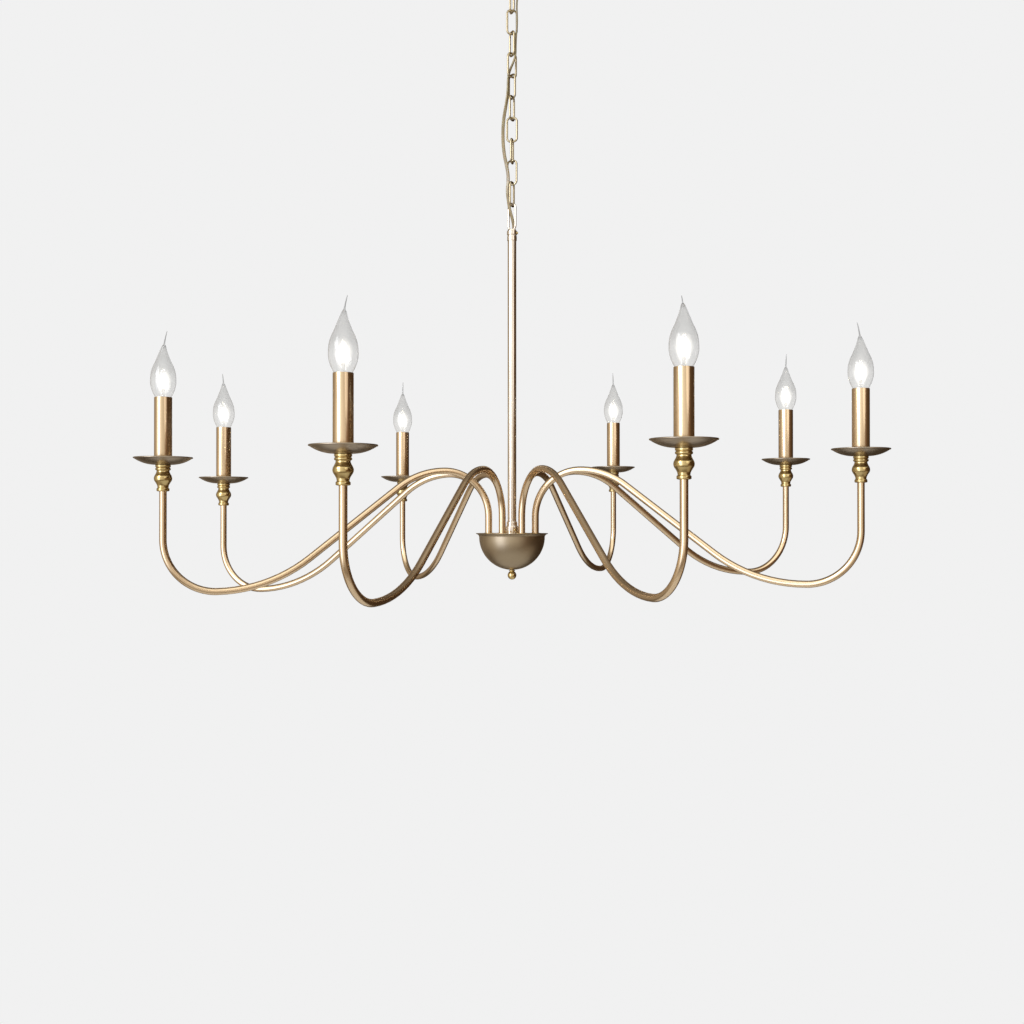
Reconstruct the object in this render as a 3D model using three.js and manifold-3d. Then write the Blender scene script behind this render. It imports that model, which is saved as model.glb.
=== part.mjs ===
// A chandelier with eight candle lights, in millimetres, +Z up.
// The origin is the middle of the ceiling bracket's top face, so everything hangs below z = 0.
import * as THREE from "three";
import { mergeVertices } from "three/addons/utils/BufferGeometryUtils.js";
import Module from "manifold-3d";

const wasm = await Module();
wasm.setup();

// ---- Driving dimensions ----

const gap = 0.3; // clearance between pieces that touch

// Ceiling set
const bracketLength = 96;
const bracketWidth = 22;
const bracketThickness = 2.5;
const slotSpacing = 64; // between the middles of the two screw slots
const slotLength = 14;
const slotWidth = 5;
const bossRadius = 8.5;
const bossLength = 13;
const nippleRadius = 5; // M10 thread
const nippleGrip = 10; // how far the nipple screws into the boss
const canopyRadius = 60;
const canopyDepth = 27;
const canopySkirt = 4; // straight part of the rim
const canopyFlat = 23; // radius of the flat bottom
const canopyWall = 1.2;
const glandWall = 1.8;
const glandSpacing = 1.4; // between the gland and the loop's collar
const glandLength = 8;
const loopCollarRadius = 9;
const loopCollarHeight = 7;
const loopRadius = 11.25; // centreline of the ring
const loopWire = 3.5;
const loopYaw = 15;

// Chain
const linkWire = 3;
const linkWidth = 15; // centreline
const linkHeight = 35.8; // centreline
const linkCorner = 5.5; // centreline
const linkYaws = [-69, 17, -66, 37, -53, 66, -8, 78, -25, 68]; // how each link hangs turned
const cordWidth = 5;
const cordThickness = 2.7;
const cordSlack = 0.4; // the plain tube stands this much proud of the cord's flat sides

// Stem
const ringWire = 3.2;
const ringWidth = 13.8; // centreline
const ringHeight = 40; // centreline
const ringYaw = -42;
const ringSink = 1; // how far the ring's bottom bend sits below the collar's top
const entryWall = 0.05; // between the cord's way in and the ring's wire
const stemRadius = 6.5;
const stemWall = 1.2;
const stemVisible = 442; // between the loop collar and the hub plate
const stemGrip = 10; // length inside the loop collar
const topCollarWall = 0.8;
const topCollarHeight = 17;
const baseCollarWall = 2.7;
const baseCollarHeight = 19;

// Hub
const plateThickness = 3;
const armInset = 10; // from the plate's edge to the middles of the arm holes
const bowlRadius = 49.5; // outside, under the lip
const bowlDepth = 54;
const bowlWall = 1.2;
const lipWidth = 4.7;
const lipHeight = 4;
const finialBall = 6.6;
const finialNeck = 3.6;
const studRadius = 3;

// Arms
const armReach = 510;
const armRadius = 5;
const armWall = 1;
const armTail = 12; // threaded end below the plate's top
const crownHeight = 94; // top of the centreline over the plate
const crownInside = 68; // bend radius towards the hub
const crownOutside = 115; // bend radius towards the candle
const sagDepth = 75; // lowest point of the centreline under the plate
const sagInside = 213; // bend radius towards the hub
const sagOutside = 73; // bend radius towards the candle
const candleBase = 64; // underside of the cup over the plate
const armSocket = 10; // depth of the hole in the cup that takes the arm
// The arms are bent and set by hand: each ends a little high or low and is turned a little in its hole.
const armRises = [13, 10, -8, -19, -4, -4, 3, 8];
const armSwivels = [3.5, 0.7, 1.2, 1.4, -2.1, 0.3, 0.2, 2.1]; // degrees

// Candles
const cupHeight = 36.2;
const cupBulge = 12.2;
const cupCollar = 10.3;
const cupWall = 2.1; // round the arm's end
const cupFoot = 8.6;
const panRadius = 40;
const panDepth = 9.5;
const panFloor = 11;
const panWall = 1;
const sleeveRadius = 12;
const sleeveWall = 0.8;
const sleeveLength = 91;
const rodRadius = 4.9; // threaded rod through the pan and up to the lamp holder
const nutRadius = 8;
const nutHeight = 5;
const holderClearance = 0.8; // between the lamp holder and the sleeve
const holderLength = 34;
const capRadius = 6.9; // E14 screw cap
const capLength = 24;
const glassLift = 1; // from the lamp holder's mouth to the glass
const glassRadius = 17.4;
const glassLength = 78; // from the cap to where the tail starts
const tailLength = 18;
const tailLean = 5;
const mouthClearance = 0.57; // between the glass and the sleeve's edge

// ---- Sizes that follow, so that the pieces still fit when one is changed ----

const armCount = armRises.length;
const glandRadius = cordWidth / 2 + gap + glandWall;
const glandOffset = loopCollarRadius + glandSpacing + glandRadius;
const entryOffset = ringWire / 2 + entryWall + gap + cordSlack + cordThickness / 2;
const topCollarRadius = stemRadius + gap + topCollarWall;
const baseCollarRadius = stemRadius + gap + baseCollarWall;
const plateRadius = bowlRadius - bowlWall - gap;
const hubRing = plateRadius - armInset; // radius of the circle of arm holes
const lipRadius = bowlRadius + lipWidth;
const cupWaist = armRadius + gap + cupWall;
const holderRadius = sleeveRadius - sleeveWall - holderClearance;
// The glass's side, as shares of its radius and length, at the neck and at the shoulder.
const glassNeck = [0.56, 0.08];
const glassShoulder = [0.83, 0.2];
// The glass sinks into the sleeve until its side is this close to the sleeve's edge.
const mouthShare = (sleeveRadius - sleeveWall - mouthClearance) / glassRadius;
const flankSlope = (glassShoulder[1] - glassNeck[1]) / (glassShoulder[0] - glassNeck[0]);
const glassSink = glassLength * (glassNeck[1] + (mouthShare - glassNeck[0]) * flankSlope);

// ---- Shapes ----

const degrees = Math.PI / 180;

function material(color, roughness, metalness) {
  return new THREE.MeshStandardMaterial({ color, roughness, metalness });
}

const satinGold = material(0xc9a878, 0.34, 1);
const polishedBrass = material(0xc4a052, 0.16, 1);
const champagne = material(0xa8967c, 0.5, 1);
const chainBrass = material(0xc2ab80, 0.3, 1);
const glass = new THREE.MeshStandardMaterial({ color: 0xf2f4f5, roughness: 0.05, transparent: true, opacity: 0.35 });
const clearCord = material(0x8f7c48, 0.35, 0);

function piece(name, geometry, finish) {
  const mesh = new THREE.Mesh(geometry, finish);
  mesh.name = name;
  return mesh;
}

// A turned solid about Z: the profile runs up the outside, from the axis or closed on itself.
function turned(profile, segments) {
  const points = profile.map(([radius, height]) => new THREE.Vector2(radius, height));
  return new THREE.LatheGeometry(points, segments).rotateX(Math.PI / 2);
}

function ringProfile(inner, outer, low, high) {
  return [[inner, low], [outer, low], [outer, high], [inner, high], [inner, low]];
}

function rod(radius, low, high, segments) {
  return turned([[0, low], [radius, low], [radius, high], [0, high]], segments);
}

// Points on an arc in a profile, from one angle to another.
function arcPoints([x, z], radius, from, to, steps) {
  return Array.from({ length: steps + 1 }, (_, i) => {
    const angle = (from + ((to - from) * i) / steps) * degrees;
    return [x + radius * Math.cos(angle), z + radius * Math.sin(angle)];
  });
}

// A ring of wire in the XZ plane: a torus pulled apart into a rounded rectangle round the origin.
function wireRing(width, height, corner, wire, sides, bends) {
  const turn = Math.PI / bends; // half a step, so that the middles of the bends and legs are on the size
  const ring = new THREE.TorusGeometry(corner / Math.cos(turn), wire / 2, sides, bends).rotateZ(turn);
  const place = ring.getAttribute("position");
  for (let i = 0; i < place.count; i++) {
    place.setX(i, place.getX(i) + Math.sign(place.getX(i)) * (width / 2 - corner));
    place.setY(i, place.getY(i) + Math.sign(place.getY(i)) * (height / 2 - corner));
  }
  return ring.rotateX(Math.PI / 2);
}

function solid(geometry) {
  const bare = geometry.clone().deleteAttribute("normal").deleteAttribute("uv");
  const merged = mergeVertices(bare, 1e-3);
  const triVerts = new Uint32Array(merged.index.array);
  return new wasm.Manifold(
    new wasm.Mesh({ numProp: 3, vertProperties: merged.attributes.position.array, triVerts }),
  );
}

function geometryOf(manifold) {
  const mesh = manifold.getMesh();
  return new THREE.BufferGeometry()
    .setAttribute("position", new THREE.BufferAttribute(mesh.vertProperties, 3))
    .setIndex(new THREE.BufferAttribute(mesh.triVerts, 1));
}

const joined = (...parts) => geometryOf(parts.map(solid).reduce((all, one) => all.add(one)));
const cut = (body, ...tools) => geometryOf(tools.map(solid).reduce((all, one) => all.subtract(one), solid(body)));

// A curve that keeps the stations it is given, so that straight runs take one step.
class StationPath extends THREE.Curve {
  constructor(stations) {
    super();
    this.stations = stations;
  }
  getUtoTmapping(u) {
    return u;
  }
  pick(t, key, target) {
    const place = t * (this.stations.length - 1);
    const index = Math.min(Math.floor(place), this.stations.length - 2);
    return target.lerpVectors(this.stations[index][key], this.stations[index + 1][key], place - index);
  }
  getPoint(t, target = new THREE.Vector3()) {
    return this.pick(t, "point", target);
  }
  getTangent(t, target = new THREE.Vector3()) {
    return this.pick(t, "tangent", target).normalize();
  }
}

function circleShape(radius, sides) {
  const points = arcPoints([0, 0], radius, 0, 360, sides).slice(0, sides);
  return points.map(([x, y]) => new THREE.Vector2(x, y));
}

function tubeAlong(path, steps, outer, inner, sides) {
  const section = new THREE.Shape(circleShape(outer, sides));
  if (inner) section.holes.push(new THREE.Path(circleShape(inner, sides - 2).reverse()));
  return new THREE.ExtrudeGeometry(section, { steps, extrudePath: path, bevelEnabled: false });
}

// ---- Heights, from the ceiling down ----

const canopyBottom = -canopyDepth;
const collarTop = canopyBottom - gap;
const loopMiddle = collarTop - loopCollarHeight - loopRadius + loopWire / 2;
const firstPivot = loopMiddle - loopRadius;
const topBendOver = (upperWire, lowerWire) => (upperWire + lowerWire) / 2 + gap;
const linkPitch = linkHeight - topBendOver(linkWire, linkWire);
const linkPivots = linkYaws.map(
  (_, i) => firstPivot + topBendOver(loopWire, linkWire) - linkHeight - i * linkPitch,
);
const lastPivot = linkPivots[linkPivots.length - 1];
const ringTop = lastPivot + topBendOver(linkWire, ringWire);
const topCollarTop = ringTop - ringHeight + ringSink;
const stemTop = topCollarTop - topCollarHeight + stemGrip;
const plateTop = topCollarTop - topCollarHeight - stemVisible;

// ---- Ceiling set ----

function bracketGeometry() {
  const half = bracketLength / 2 - bracketWidth / 2;
  const outline = new THREE.Shape();
  outline.absarc(half, 0, bracketWidth / 2, -Math.PI / 2, Math.PI / 2);
  outline.absarc(-half, 0, bracketWidth / 2, Math.PI / 2, (Math.PI * 3) / 2);
  for (const side of [-1, 1]) {
    const slot = new THREE.Path();
    const reach = slotLength / 2 - slotWidth / 2;
    const middle = (side * slotSpacing) / 2;
    slot.absarc(middle - reach, 0, slotWidth / 2, (Math.PI * 3) / 2, Math.PI / 2, true);
    slot.absarc(middle + reach, 0, slotWidth / 2, Math.PI / 2, -Math.PI / 2, true);
    outline.holes.push(slot);
  }
  const bar = new THREE.ExtrudeGeometry(outline, { depth: bracketThickness, bevelEnabled: false, curveSegments: 5 });
  bar.translate(0, 0, -bracketThickness);
  const boss = rod(bossRadius, -bossLength - bracketThickness, -bracketThickness / 2, 12);
  const bore = rod(nippleRadius + gap, -2 * bossLength, -bossLength - bracketThickness + nippleGrip + gap, 12);
  return cut(joined(bar, boss), bore);
}

function canopyGeometry() {
  const bendWidth = canopyRadius - canopyFlat;
  const bendHeight = canopyDepth - canopySkirt;
  // A quarter ellipse joins the straight rim to the flat bottom.
  const side = (inset) =>
    [0, 22, 44, 66, 90].map((angle) => [
      canopyFlat + (bendWidth - inset) * Math.cos(angle * degrees),
      -canopySkirt - (bendHeight - inset) * Math.sin(angle * degrees),
    ]);
  const hole = nippleRadius + gap;
  const outside = [[canopyRadius, 0], ...side(0), [hole, -canopyDepth]].reverse();
  const inside = [[canopyRadius - canopyWall, 0], ...side(canopyWall), [hole, canopyWall - canopyDepth]];
  const shell = turned([...outside, ...inside, outside[0]], 24);
  const gland = rod(glandRadius, canopyBottom - glandLength, canopyBottom + canopyWall / 2, 12);
  const bore = rod(cordWidth / 2 + gap, canopyBottom - 2 * glandLength, 0, 8);
  gland.translate(glandOffset, 0, 0);
  bore.translate(glandOffset, 0, 0);
  return cut(joined(shell, gland), bore);
}

function canopyLoopGeometry() {
  const nippleTop = -bossLength - bracketThickness + nippleGrip;
  const collarBottom = collarTop - loopCollarHeight;
  const collar = turned(
    [
      [0, collarBottom],
      [loopCollarRadius - 2, collarBottom],
      [loopCollarRadius, collarBottom + 2],
      [loopCollarRadius, collarTop],
      [nippleRadius, collarTop],
      [nippleRadius, nippleTop],
      [0, nippleTop],
    ],
    14,
  );
  const ring = wireRing(2 * loopRadius, 2 * loopRadius, loopRadius, loopWire, 8, 20);
  ring.rotateZ(loopYaw * degrees).translate(0, 0, loopMiddle);
  return joined(collar, ring);
}

// ---- Chain and cord ----

function chainLinks() {
  return linkYaws.map((yaw, i) => {
    const link = piece(
      `chain_link_${String(i + 1).padStart(2, "0")}`,
      wireRing(linkWidth, linkHeight, linkCorner, linkWire, 6, 16),
      chainBrass,
    );
    link.rotation.z = yaw * degrees;
    link.position.z = linkPivots[i] + linkHeight / 2;
    return link;
  });
}

// The cord's way down from the gland, woven through the chain and into the stem's collar.
const cordRoute = [
  [15, 0, -35.3],
  [14.8, -0.3, -41],
  [13.2, -1.0, -49],
  [10.6, -1.9, -57],
  [8.4, -2.5, -65],
  [7.3, -2.8, -74],
  [7.2, -2.9, -85],
  [7.6, -2.9, -96],
  [7.5, -2.9, -107],
  [6.7, -2.8, -117],
  [6.0, -2.7, -127],
  [5.6, -2.6, -137],
  [5.4, -2.5, -149],
  [4.1, -2.0, -156.5],
  [1.0, -1.1, -165],
  [-2.5, -0.1, -173],
  [-5.0, 0.4, -181],
  [-5.9, 0.3, -190],
  [-6.2, -0.1, -201],
  [-7.0, -0.5, -213],
  [-8.8, -0.8, -226],
  [-11.0, -1.0, -239],
  [-12.8, -1.2, -252],
  [-13.6, -1.6, -265],
  [-13.6, -2.2, -278],
  [-12.9, -3.0, -291],
  [-11.2, -3.8, -305],
  [-8.6, -4.3, -318],
  [-6.4, -4.0, -330],
  [-5.6, -3.0, -342],
  [-6.6, -2.8, -351],
  [-6.8, -2.8, -361],
  [-5.6, -2.0, -371],
  [-4.4, -1.1, -380],
  [-2.4, -0.1, -389],
  [0.2, 1.3, -398],
  [2.0, 2.4, -406],
  [2.5, 2.8, -412],
  [2.5, 2.8, -418],
];

function cordGeometry() {
  const curve = new THREE.CatmullRomCurve3(cordRoute.map((point) => new THREE.Vector3(...point)));
  return tubeAlong(curve, 44, cordThickness / 2 + cordSlack, 0, 8);
}

// ---- Stem and hub ----

function stemLoopGeometry() {
  const bottom = topCollarTop - topCollarHeight;
  const groove = topCollarTop - topCollarHeight * 0.45;
  const collar = turned(
    [
      [0, stemTop + gap],
      [stemRadius + gap, stemTop + gap],
      [stemRadius + gap, bottom],
      [topCollarRadius, bottom],
      [topCollarRadius, groove - 1],
      [topCollarRadius - 0.7, groove],
      [topCollarRadius, groove + 1],
      [topCollarRadius, topCollarTop - 1.5],
      [topCollarRadius - 1.5, topCollarTop],
      [0, topCollarTop],
    ],
    14,
  );
  const ring = wireRing(ringWidth, ringHeight, ringWidth / 2, ringWire, 8, 16);
  ring.rotateZ(ringYaw * degrees).translate(0, 0, ringTop - ringHeight / 2);
  // The cord goes down through a flat hole beside the ring's wire.
  const entry = rod(1, stemTop - 1, topCollarTop + 4, 10);
  entry.scale(cordWidth / 2 + gap, cordThickness / 2 + cordSlack + gap, 1);
  entry.translate(0, entryOffset, 0).rotateZ(ringYaw * degrees);
  return cut(joined(collar, ring), entry);
}

function stemGeometry() {
  return turned(ringProfile(stemRadius - stemWall, stemRadius, plateTop - plateThickness, stemTop), 16);
}

function baseCollarGeometry() {
  const bore = stemRadius + gap;
  const neck = baseCollarRadius - 1.6;
  const step = baseCollarHeight * 0.6;
  const low = plateTop + gap;
  return turned(
    [
      [bore, low],
      [baseCollarRadius, low],
      [baseCollarRadius, low + step],
      [neck, low + step + 1],
      [neck, plateTop + baseCollarHeight - 1],
      [neck - 1, plateTop + baseCollarHeight],
      [bore, plateTop + baseCollarHeight],
      [bore, low],
    ],
    16,
  );
}

function hubPlateGeometry() {
  const outline = new THREE.Shape(circleShape(plateRadius, 24));
  outline.holes.push(new THREE.Path(circleShape(stemRadius + gap, 16).reverse()));
  for (let i = 0; i < armCount; i++) {
    const hole = circleShape(armRadius + gap, 8).reverse();
    const angle = armAngle(i);
    const middle = new THREE.Vector2(hubRing * Math.cos(angle), hubRing * Math.sin(angle));
    outline.holes.push(new THREE.Path(hole.map((point) => point.rotateAround({ x: 0, y: 0 }, angle).add(middle))));
  }
  const plate = new THREE.ExtrudeGeometry(outline, { depth: plateThickness, bevelEnabled: false });
  return plate.translate(0, 0, plateTop - plateThickness);
}

function bowlGeometry() {
  const middle = plateTop - lipHeight;
  const wall = (inset) =>
    [4, 20, 36, 52, 70, 90].map((angle) => [
      (bowlRadius - inset) * Math.sin(angle * degrees),
      middle - (bowlDepth - lipHeight - inset) * Math.cos(angle * degrees),
    ]);
  const bottom = plateTop - bowlDepth;
  const hole = studRadius + gap;
  const rim = lipRadius - bowlRadius;
  const outside = [
    [hole, bottom],
    ...wall(0).slice(1),
    [bowlRadius + rim * 0.35, plateTop - lipHeight * 0.35],
    [lipRadius, plateTop],
    [lipRadius, plateTop + bowlWall],
  ];
  const inside = [
    [bowlRadius + rim * 0.2, plateTop + bowlWall * 0.4],
    ...wall(bowlWall).slice(1).reverse(),
    [hole, bottom + bowlWall],
  ];
  return turned([...outside, ...inside, outside[0]], 24);
}

function finialGeometry() {
  const bowlBottom = plateTop - bowlDepth - gap;
  const neckLength = 2.2;
  const middle = bowlBottom - neckLength - Math.sqrt(finialBall ** 2 - finialNeck ** 2);
  const neckAngle = Math.acos(finialNeck / finialBall) / degrees;
  return turned(
    [
      ...arcPoints([0, middle], finialBall, -90, neckAngle, 6),
      [finialNeck + 1.2, bowlBottom - neckLength * 0.5],
      [finialNeck + 1.2, bowlBottom],
      [studRadius, bowlBottom],
      [studRadius, plateTop + stemGrip],
      [0, plateTop + stemGrip],
    ],
    12,
  );
}

// ---- Arms ----

function armAngle(index) {
  return ((index + 0.5) / armCount) * 2 * Math.PI;
}

// The arm's centreline in its own upright plane, from under the plate to inside the cup. The plane's
// zero is at the arm's hole, and the rise grows evenly towards the candle.
function armPath(rise) {
  const span = armReach - hubRing;
  const crown = crownInside;
  const sag = span - sagOutside;
  const across = sag - crown;
  const upper = crownHeight - crownOutside;
  const lower = sagInside - sagDepth;
  // The straight run touches both the crown's outer bend and the sag's inner bend.
  const slope =
    Math.asin((crownOutside + sagInside) / Math.hypot(across, lower - upper)) - Math.atan2(lower - upper, across);
  const stations = [];
  const add = (along, height, angle) =>
    stations.push({
      point: new THREE.Vector3(along, 0, height + (rise * along) / span),
      tangent: new THREE.Vector3(Math.cos(angle), 0, Math.sin(angle) + (rise * Math.cos(angle)) / span),
    });
  const bend = (middle, height, radius, from, to, steps) => {
    const turn = Math.sign(to - from);
    for (let i = 0; i <= steps; i++) {
      const heading = from + ((to - from) * i) / steps;
      add(middle + turn * radius * Math.sin(heading), height - turn * radius * Math.cos(heading), heading);
    }
  };
  add(0, -armTail, Math.PI / 2);
  bend(crown, crownHeight - crownInside, crownInside, Math.PI / 2, 0, 5);
  stations.pop();
  bend(crown, upper, crownOutside, 0, -slope, 2);
  bend(sag, lower, sagInside, -slope, 0, 3);
  stations.pop();
  bend(sag, sagOutside - sagDepth, sagOutside, 0, Math.PI / 2, 5);
  add(span, candleBase + armSocket - gap, Math.PI / 2);
  return new StationPath(stations);
}

function armGeometry(rise) {
  const path = armPath(rise);
  return tubeAlong(path, path.stations.length - 1, armRadius, armRadius - armWall, 8);
}

// ---- Candles, each drawn from the underside of its cup ----

const panBase = cupHeight + gap;
const sleeveBase = panBase + panWall + gap;
const sleeveTop = sleeveBase + sleeveLength;
const glassBase = sleeveTop - glassSink;
const holderTop = glassBase - glassLift;
const capBottom = glassBase - capLength;

// Cup, threaded rod, nut and lamp holder, screwed up into one solid.
function candleHolderGeometry() {
  const holderBottom = holderTop - holderLength;
  const socketFloor = capBottom - 1;
  return turned(
    [
      [0, armSocket],
      [armRadius + gap, armSocket],
      [armRadius + gap, 0],
      [cupWaist, 0],
      [cupFoot, 1.6],
      [cupFoot, 3.2],
      [cupWaist, 5.4],
      [cupFoot, 9.4],
      [cupBulge, cupHeight - 19.8],
      [cupBulge, cupHeight - 17.6],
      [cupCollar, cupHeight - 12.6],
      [cupCollar - 1.7, cupHeight - 7.4],
      [cupCollar, cupHeight - 5.8],
      [cupCollar, cupHeight],
      [rodRadius, cupHeight],
      [rodRadius, sleeveBase],
      [nutRadius, sleeveBase],
      [nutRadius, sleeveBase + nutHeight],
      [rodRadius, sleeveBase + nutHeight],
      [rodRadius, holderBottom],
      [holderRadius, holderBottom],
      [holderRadius, holderTop],
      [capRadius + 0.6, holderTop],
      [capRadius + 0.6, socketFloor],
      [0, socketFloor],
    ],
    8,
  );
}

function panGeometry() {
  const rise = panRadius - panFloor;
  const radius = (rise ** 2 + panDepth ** 2) / (2 * panDepth);
  const sweep = Math.asin(rise / radius) / degrees;
  const under = arcPoints([panFloor, panBase + radius], radius, -90, -90 + sweep, 3);
  const over = arcPoints([panFloor, panBase + radius], radius - panWall, -90 + sweep, -90, 3);
  const hole = rodRadius + gap;
  return turned([[hole, panBase], ...under, ...over, [hole, panBase + panWall], [hole, panBase]], 16);
}

function sleeveGeometry() {
  return turned(ringProfile(sleeveRadius - sleeveWall, sleeveRadius, sleeveBase, sleeveTop), 12);
}

// Screw cap and flame-shaped glass, with a tail that leans to one side.
function bulbGeometry() {
  const tailBase = glassBase + glassLength;
  const share = (radius, height) => [glassRadius * radius, glassBase + glassLength * height];
  const bulb = turned(
    [
      [0, capBottom],
      [capRadius - 3, capBottom],
      [capRadius, capBottom + 4],
      [capRadius, glassBase],
      share(...glassNeck),
      share(...glassShoulder),
      share(1, 0.4),
      share(0.95, 0.53),
      share(0.8, 0.64),
      share(0.61, 0.73),
      share(0.42, 0.81),
      share(0.23, 0.9),
      share(0.1, 1),
      [0.8, tailBase + tailLength * 0.5],
      [0, tailBase + tailLength],
    ],
    8,
  );
  const place = bulb.getAttribute("position");
  const leanFrom = glassBase + glassLength * 0.8;
  const leanLength = tailBase + tailLength - leanFrom;
  for (let i = 0; i < place.count; i++) {
    const along = Math.max(0, (place.getZ(i) - leanFrom) / leanLength);
    place.setX(i, place.getX(i) + tailLean * along ** 2);
  }
  return bulb;
}

const holderShape = candleHolderGeometry();
const panShape = panGeometry();
const sleeveShape = sleeveGeometry();
const bulbShape = bulbGeometry();

function candle(number) {
  const group = new THREE.Group();
  group.add(
    piece(`candle_holder_${number}`, holderShape, polishedBrass),
    piece(`drip_pan_${number}`, panShape, champagne),
    piece(`candle_sleeve_${number}`, sleeveShape, satinGold),
    piece(`bulb_${number}`, bulbShape, glass),
  );
  return group;
}

function lightArm(index) {
  const group = new THREE.Group();
  const light = candle(index + 1);
  light.position.set(armReach - hubRing, 0, candleBase + armRises[index]);
  group.add(piece(`arm_${index + 1}`, armGeometry(armRises[index]), satinGold), light);
  group.position.set(hubRing, 0, plateTop).applyAxisAngle(new THREE.Vector3(0, 0, 1), armAngle(index));
  group.rotation.z = armAngle(index) + armSwivels[index] * degrees;
  return group;
}

// ---- The chandelier ----

const chandelier = new THREE.Group();
chandelier.add(
  piece("ceiling_bracket", bracketGeometry(), champagne),
  piece("canopy", canopyGeometry(), satinGold),
  piece("canopy_loop", canopyLoopGeometry(), satinGold),
  ...chainLinks(),
  piece("supply_cord", cordGeometry(), clearCord),
  piece("stem_loop", stemLoopGeometry(), satinGold),
  piece("stem", stemGeometry(), satinGold),
  piece("stem_collar", baseCollarGeometry(), satinGold),
  piece("hub_plate", hubPlateGeometry(), satinGold),
  piece("hub_bowl", bowlGeometry(), champagne),
  piece("finial", finialGeometry(), polishedBrass),
);
for (let i = 0; i < armCount; i++) chandelier.add(lightArm(i));

export default chandelier;
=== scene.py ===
# The looks of an eight-arm candle chandelier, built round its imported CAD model.
# Shapes are written in millimetres in the model's frame and become metres when their mesh is made.
import math

import bpy
from mathutils import Matrix, Vector


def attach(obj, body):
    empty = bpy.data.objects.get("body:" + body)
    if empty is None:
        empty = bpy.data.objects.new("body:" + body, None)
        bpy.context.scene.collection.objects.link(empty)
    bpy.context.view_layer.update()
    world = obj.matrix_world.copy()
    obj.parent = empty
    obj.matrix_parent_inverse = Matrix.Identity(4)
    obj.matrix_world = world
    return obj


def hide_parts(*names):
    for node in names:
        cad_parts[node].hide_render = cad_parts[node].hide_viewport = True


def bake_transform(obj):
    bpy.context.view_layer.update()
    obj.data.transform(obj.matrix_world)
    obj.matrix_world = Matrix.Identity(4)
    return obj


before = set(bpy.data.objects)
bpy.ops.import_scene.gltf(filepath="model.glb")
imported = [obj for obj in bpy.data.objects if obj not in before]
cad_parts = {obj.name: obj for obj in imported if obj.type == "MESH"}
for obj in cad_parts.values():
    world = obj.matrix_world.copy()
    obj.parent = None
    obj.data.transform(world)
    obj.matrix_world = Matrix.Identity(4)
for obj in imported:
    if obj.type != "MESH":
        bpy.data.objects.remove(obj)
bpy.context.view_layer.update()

MM = 0.001

# ---- Camera ----

CAMERA_DISTANCE = 1.952
CAMERA_HEIGHT = -0.8549
CAMERA_PITCH = 0.398  # degrees above level
CAMERA_LENS = 45.56
SENSOR_WIDTH = 36


def make_camera():
    data = bpy.data.cameras.new("camera")
    data.lens = CAMERA_LENS
    data.sensor_width = SENSOR_WIDTH
    camera = bpy.data.objects.new("camera", data)
    camera.location = (0, -CAMERA_DISTANCE, CAMERA_HEIGHT)
    camera.rotation_euler = (math.radians(90 + CAMERA_PITCH), 0, 0)
    bpy.context.scene.collection.objects.link(camera)
    bpy.context.scene.camera = camera


make_camera()

# ---- Sizes, as in the CAD model, in millimetres ----

GAP = 0.3
CANOPY_RADIUS = 60
CANOPY_DEPTH = 27
CANOPY_SKIRT = 4
CANOPY_FLAT = 23
CANOPY_WALL = 1.2
NIPPLE_RADIUS = 5
NIPPLE_TOP = -5.5
GLAND_OFFSET = 15
GLAND_RADIUS = 4.6
GLAND_LENGTH = 8
LOOP_COLLAR_RADIUS = 9
LOOP_COLLAR_HEIGHT = 7
LOOP_RADIUS = 11.25
LOOP_WIRE = 3.5
LOOP_YAW = 15

LINK_WIRE = 3
LINK_WIDTH = 15
LINK_HEIGHT = 35.8
LINK_CORNER = 5.5
LINK_YAWS = [-69, 17, -66, 37, -53, 66, -8, 78, -25, 68]
CORD_WIDTH = 5
CORD_THICKNESS = 2.7

RING_WIRE = 3.2
RING_WIDTH = 13.8
RING_HEIGHT = 40
RING_YAW = -42
RING_SINK = 1
ENTRY_OFFSET = 3.7
STEM_RADIUS = 6.5
STEM_WALL = 1.2
STEM_VISIBLE = 442
STEM_GRIP = 10
TOP_COLLAR_RADIUS = 7.6
TOP_COLLAR_HEIGHT = 17
BASE_COLLAR_RADIUS = 9.5
BASE_COLLAR_HEIGHT = 19

PLATE_THICKNESS = 3
HUB_RING = 38
BOWL_RADIUS = 49.5
BOWL_DEPTH = 54
BOWL_WALL = 1.2
LIP_RADIUS = 54.2
LIP_HEIGHT = 4
FINIAL_BALL = 6.6
FINIAL_NECK = 3.6
STUD_RADIUS = 3

ARM_REACH = 510
ARM_RADIUS = 5
ARM_WALL = 1
ARM_TAIL = 12
CROWN_HEIGHT = 94
CROWN_INSIDE = 68
CROWN_OUTSIDE = 115
SAG_DEPTH = 75
SAG_INSIDE = 213
SAG_OUTSIDE = 73
CANDLE_BASE = 64
ARM_SOCKET = 10
ARM_RISES = [13, 10, -8, -19, -4, -4, 3, 8]
ARMS = range(len(ARM_RISES))
ARM_SWIVELS = [3.5, 0.7, 1.2, 1.4, -2.1, 0.3, 0.2, 2.1]
SPAN = ARM_REACH - HUB_RING

CUP_HEIGHT = 36.2
CUP_COLLAR = 10.3
PAN_RADIUS = 40
PAN_DEPTH = 9.5
PAN_FLOOR = 11
PAN_WALL = 1
SLEEVE_RADIUS = 12
SLEEVE_WALL = 0.8
SLEEVE_LENGTH = 91
ROD_RADIUS = 4.9
NUT_RADIUS = 8
NUT_HEIGHT = 5
HOLDER_RADIUS = 10.4
HOLDER_LENGTH = 34
CAP_RADIUS = 6.9
CAP_LENGTH = 24
GLASS_RADIUS = 17.4
GLASS_LENGTH = 78
GLASS_WALL = 0.7
TAIL_LENGTH = 18

# ---- Heights that follow from the sizes ----

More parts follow.
